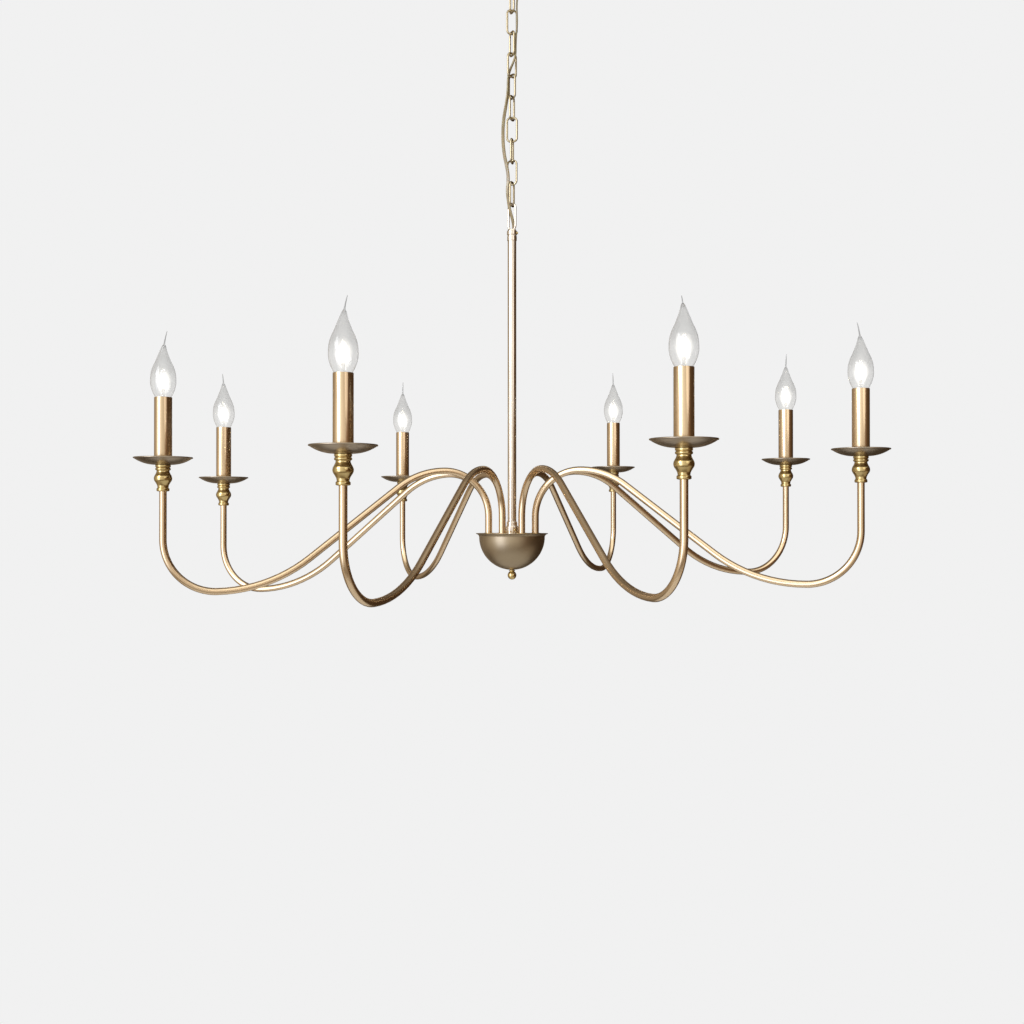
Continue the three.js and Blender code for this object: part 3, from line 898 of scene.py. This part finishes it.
# ---- Hub ----


def arm_angle(index):
    return (index + 0.5) / len(ARM_RISES) * 360


def arm_place(index):
    root = turn(arm_angle(index)) @ Vector((HUB_RING, 0, PLATE_TOP))
    return Matrix.Translation(root) @ turn(arm_angle(index) + ARM_SWIVELS[index])


def make_hub():
    edge = BOWL_RADIUS - BOWL_WALL - GAP
    plate = [
        (STEM_RADIUS, PLATE_TOP - PLATE_THICKNESS),
        (edge, PLATE_TOP - PLATE_THICKNESS),
        (edge, PLATE_TOP),
        (STEM_RADIUS, PLATE_TOP),
    ]
    shape = turned(plate, 0.7, 96, closed=True)
    nut = rounded([(0, 0), (8.2, 0), (8.9, 0.9), (8.9, 4.1), (8.2, 5), (0, 5)], 0.3, 2)
    for index in ARMS:
        place = arm_place(index)
        shape.add(lathe(nut, 48, corners=6), place @ up(-PLATE_THICKNESS - 5))
    make_piece("hub_plate_turned", shape, stem_gold, "fixture", ["hub_plate"])
    outline = [(ARM_RADIUS, 0), (8.4, 0), (8.4, 1.0), (7.4, 1.6), (ARM_RADIUS, 1.6)]
    washer = rounded(outline, 0.35, 3, closed=True)
    washers = Shape()
    for index in ARMS:
        washers.add(lathe(washer, 48, closed=True), arm_place(index))
    make_piece("arm_washers", washers, polished_brass, "fixture", ["hub_plate"])

    middle = PLATE_TOP - LIP_HEIGHT
    deep = BOWL_DEPTH - LIP_HEIGHT
    hole = STUD_RADIUS + GAP

    def wall(inset):
        return [
            (
                (BOWL_RADIUS - inset) * math.sin(math.radians(angle)),
                middle - (deep - inset) * math.cos(math.radians(angle)),
            )
            for angle in range(6, 91, 4)
        ]

    flare = LIP_RADIUS - BOWL_RADIUS
    lip = [
        (BOWL_RADIUS + flare * 0.10, PLATE_TOP - LIP_HEIGHT * 0.62),
        (BOWL_RADIUS + flare * 0.38, PLATE_TOP - LIP_HEIGHT * 0.30),
        (BOWL_RADIUS + flare * 0.74, PLATE_TOP - 0.1),
        (LIP_RADIUS, PLATE_TOP + 0.15),
        (LIP_RADIUS, PLATE_TOP + BOWL_WALL),
        (BOWL_RADIUS + flare * 0.66, PLATE_TOP + BOWL_WALL),
        (BOWL_RADIUS + flare * 0.16, PLATE_TOP - 0.2),
    ]
    inside = wall(BOWL_WALL)[::-1]
    bottom = PLATE_TOP - BOWL_DEPTH
    profile = [(hole, bottom)] + wall(0) + lip + inside + [(hole, bottom + BOWL_WALL)]
    shape = turned(profile, 0.45, 128, 3, closed=True)
    make_piece("hub_bowl_spun", shape, bowl_finish, "fixture", ["hub_bowl"])

    bowl_bottom = PLATE_TOP - BOWL_DEPTH - GAP
    ball = bowl_bottom - 2.2 - math.sqrt(FINIAL_BALL**2 - FINIAL_NECK**2)
    neck_angle = math.degrees(math.acos(FINIAL_NECK / FINIAL_BALL))
    profile = arc((0, ball), FINIAL_BALL, -90, neck_angle, 22) + [
        (FINIAL_NECK, bowl_bottom - 1.7),
        (FINIAL_NECK + 1.2, bowl_bottom - 1.1),
        (FINIAL_NECK + 1.2, bowl_bottom - 0.2),
        (STUD_RADIUS, bowl_bottom),
        (0, bowl_bottom),
    ]
    profile[0] = (0, ball - FINIAL_BALL)
    shape = turned(profile, 0.3, 64, 3).add(
        lathe(thread(STUD_RADIUS, bowl_bottom, PLATE_TOP + STEM_GRIP, 1.0, 0.35), 32)
    )
    make_piece("finial_turned", shape, polished_brass, "fixture", ["finial"])


make_hub()

# ---- Arms ----


def arm_path(rise):
    """The arm's centreline in its own upright plane, from under the plate to inside the cup."""
    sag = SPAN - SAG_OUTSIDE
    upper = CROWN_HEIGHT - CROWN_OUTSIDE
    lower = SAG_INSIDE - SAG_DEPTH
    width = sag - CROWN_INSIDE
    slope = math.asin((CROWN_OUTSIDE + SAG_INSIDE) / math.hypot(width, lower - upper))
    slope = math.degrees(slope - math.atan2(lower - upper, width))
    path = [Vector((0, 0, -ARM_TAIL))]

    def bend(middle, height, radius, start, end):
        steps = max(4, round(abs(end - start) / 3.5))
        side = 1 if end > start else -1
        for i in range(steps + 1):
            heading = math.radians(start + (end - start) * i / steps)
            along = middle + side * radius * math.sin(heading)
            point = Vector((along, 0, height - side * radius * math.cos(heading)))
            if (point - path[-1]).length > 0.01:
                path.append(point)

    bend(CROWN_INSIDE, CROWN_HEIGHT - CROWN_INSIDE, CROWN_INSIDE, 90, 0)
    bend(CROWN_INSIDE, upper, CROWN_OUTSIDE, 0, -slope)
    bend(sag, lower, SAG_INSIDE, -slope, 0)
    bend(sag, SAG_OUTSIDE - SAG_DEPTH, SAG_OUTSIDE, 0, 90)
    path.append(Vector((SPAN, 0, CANDLE_BASE + ARM_SOCKET - GAP)))
    for point in path:
        point.z += rise * point.x / SPAN
    return path


def make_arm(index):
    tube = pipe(arm_path(ARM_RISES[index]), ARM_RADIUS, ARM_RADIUS - ARM_WALL, Vector((0, 1, 0)), 36)
    shape = Shape().add(tube, arm_place(index))
    number = index + 1
    make_piece(f"arm_{number}_tube", shape, satin_gold, "fixture", [f"arm_{number}"])


# ---- Candles, drawn from the underside of the cup ----


def cup_shape():
    bore = ARM_RADIUS + 0.15
    foot = [(bore, ARM_SOCKET), (bore, 0), (7.0, 0), (8.6, 0.7), (8.6, 4.0), (7.4, 4.8)]
    body = [(7.3, 5.6), (7.9, 8.4), (9.6, 11.6), (11.6, 14.8)]
    body += [(12.2, 17.8), (11.6, 20.8), (10.1, 23.6), (8.9, 26.2)]
    rings = [
        (8.5, 28.0),
        (8.7, 28.6),
        (CUP_COLLAR, 29.4),
        (CUP_COLLAR, 31.7),
        (9.2, 32.2),
        (9.2, 32.8),
        (CUP_COLLAR, 33.3),
        (CUP_COLLAR, CUP_HEIGHT),
        (0, CUP_HEIGHT),
    ]
    profile = [(0, ARM_SOCKET)] + rounded(foot, 0.6) + curved(body, 5) + rounded(rings, 0.5)
    return Shape().add(lathe(profile, 72))


def pan_shape():
    run = PAN_RADIUS - PAN_FLOOR
    radius = (run**2 + PAN_DEPTH**2) / (2 * PAN_DEPTH)
    sweep_angle = math.degrees(math.asin(run / radius))
    under = arc((PAN_FLOOR, PAN_BASE + radius), radius, -90, -90 + sweep_angle, 18)
    over = arc((PAN_FLOOR, PAN_BASE + radius), radius - PAN_WALL, -90 + sweep_angle, -90, 18)
    bead_middle = (PAN_RADIUS - 0.9, PAN_BASE + PAN_DEPTH)
    bead = arc(bead_middle, 0.9, -60, 150, 8)
    hole = ROD_RADIUS + 0.1
    profile = [(hole, PAN_BASE)] + under[:-1] + bead + over[1:] + [(hole, PAN_BASE + PAN_WALL)]
    return Shape().add(lathe(profile, 112, closed=True))


def sleeve_shape():
    inner = SLEEVE_RADIUS - SLEEVE_WALL
    profile = [(inner, SLEEVE_BASE), (SLEEVE_RADIUS, SLEEVE_BASE)]
    profile += [(SLEEVE_RADIUS, SLEEVE_TOP), (inner, SLEEVE_TOP)]
    return turned(profile, 0.3, 72, 3, closed=True)


def rod_shape():
    shape = Shape().add(lathe(thread(ROD_RADIUS, CUP_HEIGHT - 4, HOLDER_TOP - HOLDER_LENGTH + 1), 32))
    nut = [(0, 0), (NUT_RADIUS - 0.7, 0), (NUT_RADIUS, 0.8), (NUT_RADIUS, NUT_HEIGHT - 0.8)]
    nut += [(NUT_RADIUS - 0.7, NUT_HEIGHT), (0, NUT_HEIGHT)]
    return shape.add(lathe(nut, 48, corners=6), up(SLEEVE_BASE))


def holder_shape():
    bottom = HOLDER_TOP - HOLDER_LENGTH
    bore = CAP_RADIUS + 0.6
    profile = [
        (0, bottom),
        (HOLDER_RADIUS - 1.5, bottom),
        (HOLDER_RADIUS, bottom + 2),
        (HOLDER_RADIUS, bottom + 12),
        (HOLDER_RADIUS - 0.8, bottom + 12.6),
        (HOLDER_RADIUS - 0.8, HOLDER_TOP - 6),
        (HOLDER_RADIUS, HOLDER_TOP - 5.2),
        (HOLDER_RADIUS, HOLDER_TOP),
        (bore, HOLDER_TOP),
        (bore, CAP_BOTTOM - 1),
        (0, CAP_BOTTOM - 1),
    ]
    return turned(profile, 0.5, 64, 3)


def cap_shape():
    """The lamp's screw cap, with its thread and its solder tip."""
    profile = [(0, CAP_BOTTOM), (2.2, CAP_BOTTOM + 0.3), (2.6, CAP_BOTTOM + 1.4), (4.2, CAP_BOTTOM + 2.2)]
    profile += [(CAP_RADIUS - 0.8, CAP_BOTTOM + 4)]
    turns = 5
    pitch = 2.8
    for i in range(turns * 6 + 1):
        height = CAP_BOTTOM + 4.6 + pitch * i / 6
        profile.append((CAP_RADIUS - 0.45 + 0.4 * math.cos(2 * math.pi * i / 6), height))
    profile += [(CAP_RADIUS, GLASS_BASE - 3), (CAP_RADIUS, GLASS_BASE), (0, GLASS_BASE)]
    return Shape().add(lathe(profile, 48))


GLASS_SHARES = [
    (0.39, 0.0), (0.56, 0.08), (0.83, 0.2), (0.97, 0.31), (1.0, 0.40),
    (0.95, 0.53), (0.8, 0.64), (0.61, 0.73), (0.45, 0.82), (0.31, 0.90),
    (0.18, 0.99),
]


def lean(shape, reach, yaw):
    """Bends the top of a lamp over to one side."""
    start = GLASS_BASE + GLASS_LENGTH * 0.8
    length = GLASS_LENGTH * 0.2 + TAIL_LENGTH
    side = turn(yaw) @ Vector((reach, 0, 0))
    for point in shape.points:
        along = max(0, (point.z - start) / length)
        point.xy += side.xy * along**2
    return shape


def glass_shape(longer):
    """The blown flame with its wall, drawn out to a thin solid tail, so much longer than the CAD model's."""
    outside = [(GLASS_RADIUS * radius, GLASS_BASE + GLASS_LENGTH * height) for radius, height in GLASS_SHARES]
    tip = GLASS_BASE + GLASS_LENGTH + TAIL_LENGTH + longer
    outer = curved(outside, 5)
    root = (1.2, GLASS_BASE + GLASS_LENGTH + 3)
    tail = curved([outer[-1], root, (0.85, tip - 11), (0.6, tip - 4), (0.35, tip - 0.4)], 4)
    profile = outer[:-1] + tail + [Vector((0, tip))]
    inner = [Vector((max(point.x - GLASS_WALL, 0.02), point.y)) for point in outer]
    inner = [Vector((0, inner[-1].y))] + inner[::-1]
    low = [Vector((outer[0].x, GLASS_BASE))]
    shell = lathe([Vector((inner[-1].x, GLASS_BASE))] + low + profile, 56)
    cavity = lathe(inner, 56)
    shape = Shape()
    shape.points = shell[0] + cavity[0]
    start = len(shell[0])
    shape.faces = shell[1] + [[start + i for i in face] for face in cavity[1]]
    shape.marks = [(0, 0)] * len(shape.points)
    return shape


# The lit middle of a lamp: its radius at each height above the glass's foot.
GLOW_PROFILE = [
    (0, 7), (3.6, 9), (5.4, 14), (7.4, 20), (10.2, 27),
    (12.0, 34), (11.6, 40), (8.0, 45), (3.4, 48.5), (0, 50.5),
]


def glow_shape():
    profile = curved([(radius, GLASS_BASE + height) for radius, height in GLOW_PROFILE], 4)
    profile = [(max(point.x, 0), point.y) for point in profile]
    profile[0] = (0, profile[0][1])
    profile[-1] = (0, profile[-1][1])
    return Shape().add(lathe(profile, 32))


MOUNT_FOOT = 0.4
MOUNT_TOP = 19.6


def mount_shape():
    """The lamp's inner glass stem with its flare and pinch."""
    profile = [(5.6, MOUNT_FOOT), (4.2, 3), (2.4, 8), (2.1, 14), (2.4, 17), (1.4, 19), (0, MOUNT_TOP)]
    outer = curved([(radius, GLASS_BASE + height) for radius, height in profile], 3)
    flank = [Vector((max(point.x, 0), point.y)) for point in outer[:-1]]
    foot = Vector((0, GLASS_BASE + MOUNT_FOOT))
    pinch = Vector((0, GLASS_BASE + MOUNT_TOP))
    return Shape().add(lathe([foot] + flank + [pinch], 32))


def lead_shape():
    shape = Shape()
    for side in (-1, 1):
        wire = curved([(1.2 * side, 0, 16), (1.6 * side, 0, 20), (4.2 * side, 0, 27), (4.6 * side, 0, 33)], 5)
        shape.add(sweep([p + Vector((0, 0, GLASS_BASE)) for p in wire], circle(0.22, 10), Vector((0, 1, 0))))
    return shape


def coil_shape():
    """The filament, a fine coil hung in an arch between the leads."""
    turns = 26
    steps = turns * 8
    path = []
    for i in range(steps + 1):
        t = i / steps
        bow = math.pi * t
        middle = Vector((-4.6 * math.cos(bow), 0, GLASS_BASE + 33 + 5.5 * math.sin(bow)))
        angle = 2 * math.pi * turns * t
        outward = Vector((-math.cos(bow), 0, math.sin(bow)))
        path.append(middle + outward * (0.55 * math.cos(angle)) + Vector((0, 0.55 * math.sin(angle), 0)))
    return Shape().add(sweep(path, circle(0.12, 6), Vector((0.3, 1, 0.2))))


# How each lamp's tail leans: how far in millimetres, and towards which side about the vertical.
TAIL_LEANS = [(1.0, 0), (0.8, 180), (0.6, 0), (2.0, 180), (4.5, 0), (4.6, 0), (4.0, 180), (4.2, 180)]
# How much longer each tail is than the CAD model's, in millimetres: the tails are pulled by hand and differ.
TAIL_EXTRAS = [6, 6, 6, 1, 3, 1, -6, 3]


def placed(shape, place):
    moved = Shape()
    moved.add((shape.points, shape.faces, shape.marks), place)
    return moved


def make_candle(index):
    number = index + 1
    place = arm_place(index) @ Matrix.Translation((SPAN, 0, CANDLE_BASE + ARM_RISES[index]))
    foot = place @ Vector((0, 0, 0))
    upright = Matrix.Translation(foot)
    holder = f"candle_holder_{number}"
    bulb = f"bulb_{number}"
    lamp = f"lamp_{number}"
    reach, yaw = TAIL_LEANS[index]

    def fixed(name, shape, material, node):
        make_piece(f"{name}_{number}", placed(shape, place), material, "fixture", [node])

    def lit(name, shape, material):
        make_piece(f"{name}_{number}", placed(shape, upright), material, lamp, [bulb])

    fixed("cup", cup_shape(), polished_brass, holder)
    fixed("threaded_rod", rod_shape(), zinc, holder)
    fixed("lamp_socket", holder_shape(), porcelain, holder)
    fixed("pan_spun", pan_shape(), pan_finish, f"drip_pan_{number}")
    fixed("sleeve_tube", sleeve_shape(), satin_gold, f"candle_sleeve_{number}")
    lit("screw_cap", cap_shape(), tinned)
    lit("glow", glow_shape(), glow)
    lit("lamp_mount", mount_shape(), glass)
    lit("lamp_leads", lead_shape(), nickel)
    lit("lamp_filament", coil_shape(), hot_wire)
    blown = lean(glass_shape(TAIL_EXTRAS[index]), reach, yaw)
    shares = [max(0, (point.z - GLASS_BASE) / GLASS_LENGTH) for point in blown.points]
    blown = placed(blown, upright)
    envelope = make_piece(f"lamp_envelope_{number}", blown, glass, lamp, [bulb])
    mark_points(envelope, "share", shares)


for index in ARMS:
    make_arm(index)
    make_candle(index)

# ---- Studio ----

BACKDROP = 0.879
FLOOR_HEIGHT = -2.4
FLOOR_RADIUS = 1.8
FLOOR_THICKNESS = 5  # in millimetres
LIGHT_TARGET = (0, 0, -0.8)
LIGHT_SCALE = 5.0  # the brightest light in the ramps below
# The light round the object at its own height, from behind it, past its left, the front and its right.
WALL_LIGHT = [
    (0.0, (0.14, 0.11, 0.08)),
    (0.05, (0.26, 0.21, 0.16)),
    (0.19, (0.38, 0.32, 0.25)),
    (0.27, (0.72, 0.64, 0.54)),
    (0.325, (1.0, 0.95, 0.88)),
    (0.355, (2.7, 2.9, 3.5)),
    (0.405, (2.7, 2.9, 3.5)),
    (0.44, (1.1, 1.06, 1.0)),
    (0.56, (0.78, 0.72, 0.66)),
    (0.64, (0.22, 0.13, 0.075)),
    (0.72, (0.09, 0.055, 0.03)),
    (0.90, (0.06, 0.035, 0.02)),
    (1.0, (0.12, 0.09, 0.06)),
]
# The light from above and from below, from behind the object to the front.
ROOF_LIGHT = [
    (0.0, (0.10, 0.08, 0.06)),
    (0.35, (0.22, 0.19, 0.16)),
    (0.55, (0.55, 0.51, 0.46)),
    (0.68, (1.5, 1.48, 1.42)),
    (0.85, (1.5, 1.48, 1.42)),
    (1.0, (0.8, 0.77, 0.73)),
]
FLOOR_LIGHT = [
    (0.0, (0.05, 0.035, 0.02)),
    (0.30, (0.12, 0.09, 0.06)),
    (0.45, (0.42, 0.34, 0.27)),
    (0.62, (0.50, 0.43, 0.36)),
    (0.80, (0.28, 0.23, 0.18)),
    (1.0, (0.42, 0.36, 0.30)),
]


def make_world():
    world = bpy.data.worlds.new("studio")
    bpy.context.scene.world = world
    graph = Graph(world)
    direction = graph.add("ShaderNodeTexCoord").outputs["Generated"]
    parts = graph.add("ShaderNodeSeparateXYZ", {"Vector": direction}).outputs
    facing = graph.math("MULTIPLY", parts["Y"], -1.0)
    angle = graph.math("ARCTAN2", parts["X"], facing)
    around = graph.math("ADD", graph.math("DIVIDE", angle, 2 * math.pi), 0.5)
    front = graph.math("ADD", graph.math("MULTIPLY", facing, 0.5), 0.5)

    def stretch_of(place, stops):
        return graph.ramp(place, [(at, tuple(part / LIGHT_SCALE for part in color)) for at, color in stops])

    above = graph.spread(parts["Z"], 0, 1, 0.4, 0.7)
    light = graph.mix(above, stretch_of(around, WALL_LIGHT), stretch_of(front, ROOF_LIGHT))
    light = graph.mix(graph.spread(parts["Z"], 1, 0, -0.65, -0.3), light, stretch_of(front, FLOOR_LIGHT))
    studio = graph.add("ShaderNodeBackground", {"Color": light, "Strength": LIGHT_SCALE})
    grey = (BACKDROP, BACKDROP, BACKDROP, 1)
    plain_back = graph.add("ShaderNodeBackground", {"Color": grey, "Strength": 1.0})
    rays = graph.add("ShaderNodeLightPath").outputs
    seen = graph.math("MAXIMUM", rays["Is Camera Ray"], rays["Is Transmission Ray"])
    mixed = graph.add("ShaderNodeMixShader", {0: seen, 1: studio.outputs[0], 2: plain_back.outputs[0]})
    graph.finish("ShaderNodeOutputWorld", mixed.outputs[0])


def make_light(name, place, size, power):
    """A round soft light that faces the middle of the object."""
    data = bpy.data.lights.new(name, "AREA")
    data.shape = "DISK"
    data.size = size
    data.energy = power
    light = bpy.data.objects.new(name, data)
    light.location = place
    light.rotation_euler = (Vector(LIGHT_TARGET) - Vector(place)).to_track_quat("-Z", "Y").to_euler()
    bpy.context.scene.collection.objects.link(light)


def make_floor():
    """A pale disc whose edge melts into the backdrop."""
    material, graph = new_material("floor_paint")
    coords = graph.add("ShaderNodeTexCoord").outputs["Object"]
    flat = graph.add("ShaderNodeVectorMath", {0: coords, 1: (1, 1, 0)}, operation="MULTIPLY").outputs[0]
    distance = graph.add("ShaderNodeVectorMath", {0: flat}, operation="LENGTH").outputs["Value"]
    graph.surface(
        {
            "Base Color": graph.ramp(graph.noise(5), [(0.3, (0.84, 0.84, 0.84)), (0.7, (0.86, 0.86, 0.86))]),
            "Roughness": 0.9,
            "Alpha": graph.spread(distance, 1, 0, FLOOR_RADIUS * 0.55, FLOOR_RADIUS * 0.98),
        }
    )
    edge = FLOOR_RADIUS / MM
    level = FLOOR_HEIGHT / MM
    rings = [(edge, level - FLOOR_THICKNESS), (edge, level), (0, level)]
    points, faces = lathe(rings, 96)
    mesh = bpy.data.meshes.new("floor")
    mesh.from_pydata([point * MM for point in points], [], faces)
    mesh.materials.append(material)
    floor = bpy.data.objects.new("floor", mesh)
    bpy.context.scene.collection.objects.link(floor)


make_world()
make_light("key", (-2.2, -2.0, 0.6), size=1.6, power=22)
make_light("fill", (1.8, -2.6, 0.2), size=1.8, power=6)
make_floor()
bpy.context.scene.view_settings.view_transform = "Standard"
